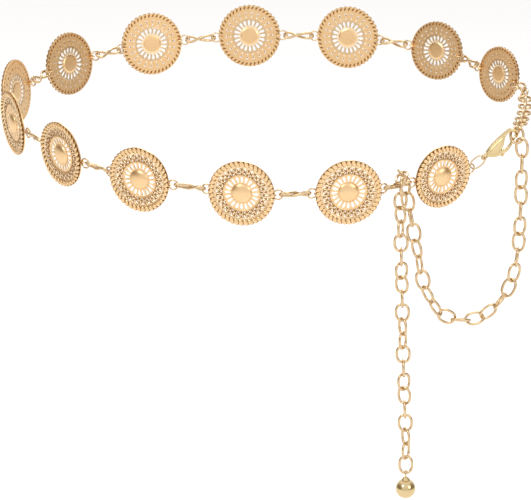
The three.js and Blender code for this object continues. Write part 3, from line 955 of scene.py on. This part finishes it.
def addPendant():
    whole = bmesh.new()
    ball = bmesh.new()
    bmesh.ops.create_uvsphere(ball, u_segments=48, v_segments=28, radius=pendant["ballRadius"])
    addShell(whole, ball)
    addShell(whole, turnedShell(pendantCap, pendant["capSteps"]))
    top = pendant["ballRadius"] + pendant["capHeight"]
    ringHeight = top + pendant["ringRadius"] - pendant["ringSunk"]
    ringPlace = Matrix.Translation((0, 0, ringHeight)) @ Matrix.Rotation(pi / 2, 4, "Y")
    addShell(whole, ringShell(pendant["ringRadius"], jumpRing["wire"]), ringPlace)
    last = tailLinks[-1]
    hung = last["end"] + upward * looseReach(jumpRing["wire"], chain["wire"])
    middle = hung + upward * (pendant["ringSunk"] - 2 * pendant["ringRadius"] - top)
    across = acrossFrom(upward, last["wide"])
    hangs = frameAt(middle, across, upward.cross(across), upward)
    finishPiece("ball_pendant", whole, "polished", "pendant", hangs)


addPendant()
print("pendant made")


# Lobster clasp, about the middle of its eye: X towards its nose, Y away from its lever, Z the way it faces.
# The nose is how far the hook's hollow reaches, and the strand that it holds lies noseGap short of that
clasp = {
    "bodyThickness": 2.4,
    "leverThickness": 1.8,
    "rounding": 0.4,
    "ridgeThickness": 3.2,
    "ridgeRounding": 0.85,
    "nose": 22.6,
    "noseGap": 1.7,
    "strandLift": 0.4,
    "eyeRadius": 2.25,
    "eyeWire": 1.5,
    "eyeTurn": 35,
    "castSteps": 4,
    "endRingLean": 6,
    "longRingWidth": 7.2,
    "longRingTurn": 125,
    "longRingSlack": 0.6,
}
claspBody = [
    (1.6, -1.4), (3.6, -3.4), (6.4, -5.1), (9.4, -5.6), (9.8, -4.0), (10.6, -2.7), (12.8, -1.7),
    (15, 0.3), (17, 2.3), (19.4, 3.0), (21.8, 2.7), (22.9, 1.0), (22.9, -0.8), (22, -1.9), (22.2, -3.2),
    (23.9, -2.6), (25.1, -0.8), (25.2, 1.4), (24.1, 3.6), (21.6, 4.6), (17, 4.7), (11, 4.2), (6, 3.3),
    (3.4, 2.4), (1.6, 1.4),
]
claspLever = [
    (10.2, -3.9), (10.9, -3.1), (11.8, -3.7), (12.6, -4.7), (15, -4.5), (18, -3.3), (20.7, -1.7),
    (21.6, -2.2), (21.6, -3.0), (19.6, -3.8), (17, -5.3), (13.4, -6.4), (11, -6.5), (9.6, -7.3),
    (8.3, -7.4), (8.4, -6.2), (9.9, -6.0),
]
# The raised middle of the body, on both faces
claspRidge = [
    (3.4, -0.9), (6.8, -3.5), (8.7, -3.9), (10, -1.6), (13.6, 0.3), (17.2, 3.4), (12, 3.0), (6, 2.2),
    (3.6, 1.1),
]


# A flat casting with its edges rounded over
def roundedCasting(outline, thickness, rounding):
    soft = softLine([Vector((x, y, 0)) for x, y in outline], clasp["castSteps"])
    cast = {
        "dimensions": "2D",
        "fill_mode": "BOTH",
        "extrude": thickness / 2 - rounding,
        "bevel_depth": rounding,
        "bevel_resolution": 3,
        "offset": -rounding,
    }
    return curveShell(soft, True, cast)


# The end ring leans from the belt's run towards the strand that the clasp hooks, and the clasp hangs between
# the two with its flat side to the front
claspSeat = eyeletSeat(places[0], 1)
hookedStrand = hookedLink["middle"] + towardClasp * chainHalf
beltEnd = places[0]["at"].col[0].to_3d()
seatLine = ((hookedStrand - claspSeat).normalized() + beltEnd * clasp["endRingLean"]).normalized()
seatUp = acrossFrom(seatLine, places[0]["up"])
addJumpRing("end_ring_at_clasp", claspSeat, seatLine, seatUp)
ringMiddle = claspSeat + seatLine * jumpRing["radius"]
pull = acrossFrom(seatLine.cross(seatUp), hookedStrand - ringMiddle)
ringHold = ringMiddle + pull * jumpRing["radius"]
claspLine = (hookedStrand - ringHold).normalized()
claspFace = acrossFrom(claspLine, frontward + hookedLink["way"])
claspSide = claspFace.cross(claspLine)
claspEye = hookedStrand + claspLine * (chain["wire"] / 2 + clasp["noseGap"] - clasp["nose"])
claspEye = claspEye - claspSide * clasp["strandLift"]
claspPlace = frameAt(claspEye, claspLine, claspSide, claspFace)

castBody = bmesh.new()
addShell(castBody, roundedCasting(claspBody, clasp["bodyThickness"], clasp["rounding"]))
addShell(castBody, roundedCasting(claspRidge, clasp["ridgeThickness"], clasp["ridgeRounding"]))
eyeRing = ringShell(clasp["eyeRadius"], clasp["eyeWire"])
addShell(castBody, eyeRing, Matrix.Rotation(radians(clasp["eyeTurn"]), 4, "X"))
finishPiece("clasp_body", castBody, "polished", at=claspPlace)

castLever = bmesh.new()
addShell(castLever, roundedCasting(claspLever, clasp["leverThickness"], clasp["rounding"]))
finishPiece("clasp_lever", castLever, "polished", "lever", claspPlace)

# The long jump ring from the end ring to the clasp's eye
longStart = ringHold - claspLine * (looseReach(jumpRing["wire"], jumpRing["wire"]) + clasp["longRingSlack"])
longEnd = claspEye + claspLine * (looseReach(jumpRing["wire"], clasp["eyeWire"]) - clasp["eyeRadius"])
longWide = Quaternion(claspLine, radians(clasp["longRingTurn"])) @ claspSide
longWidth = clasp["longRingWidth"] - jumpRing["wire"]
longRing = ovalShell((longEnd - longStart).length, longWidth, jumpRing["wire"])
longPlace = frameAt((longStart + longEnd) / 2, claspLine, longWide, claspLine.cross(longWide))
finishPiece("clasp_ring", longRing, "wire", at=longPlace)
print("clasp made")
